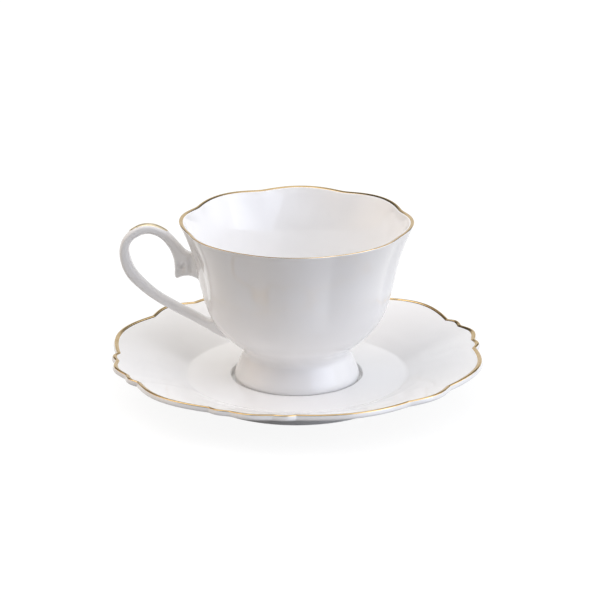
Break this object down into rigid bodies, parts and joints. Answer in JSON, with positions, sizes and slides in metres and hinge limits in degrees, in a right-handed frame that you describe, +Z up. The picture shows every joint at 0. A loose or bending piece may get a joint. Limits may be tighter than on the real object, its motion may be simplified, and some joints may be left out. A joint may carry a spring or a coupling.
{
  "type": "footed teacup on a scalloped saucer",
  "caption": "Flared, softly fluted teacup with a high looped handle, standing on a ring foot in the well of its scalloped saucer; gilded edges.",
  "frame": {"origin": "centre of the saucer's underside, on the surface that it stands on", "axes": "+Z up along the axis of the cup and the saucer, -X towards the cup's handle, +Y to the back when the handle is on the left"},
  "size_m": [0.1488, 0.1484, 0.0708],
  "materials": {
    "porcelain_cup": "gloss",
    "porcelain_saucer": "gloss",
    "gilding": "polished"
  },
  "bodies": {
    "saucer": {"saucer": "porcelain_saucer", "saucer_rim_gilding": "gilding"},
    "cup": {"cup_bowl": "porcelain_cup", "cup_foot": "porcelain_cup", "cup_handle": "porcelain_cup", "cup_rim_gilding": "gilding", "handle_gilding": "gilding"}
  },
  "joints": [
    {"name": "cup_lift", "type": "slide", "parent": "saucer", "child": "cup", "axis": [0, 0, 1], "range_m": [0, 0.06]}
  ]
}
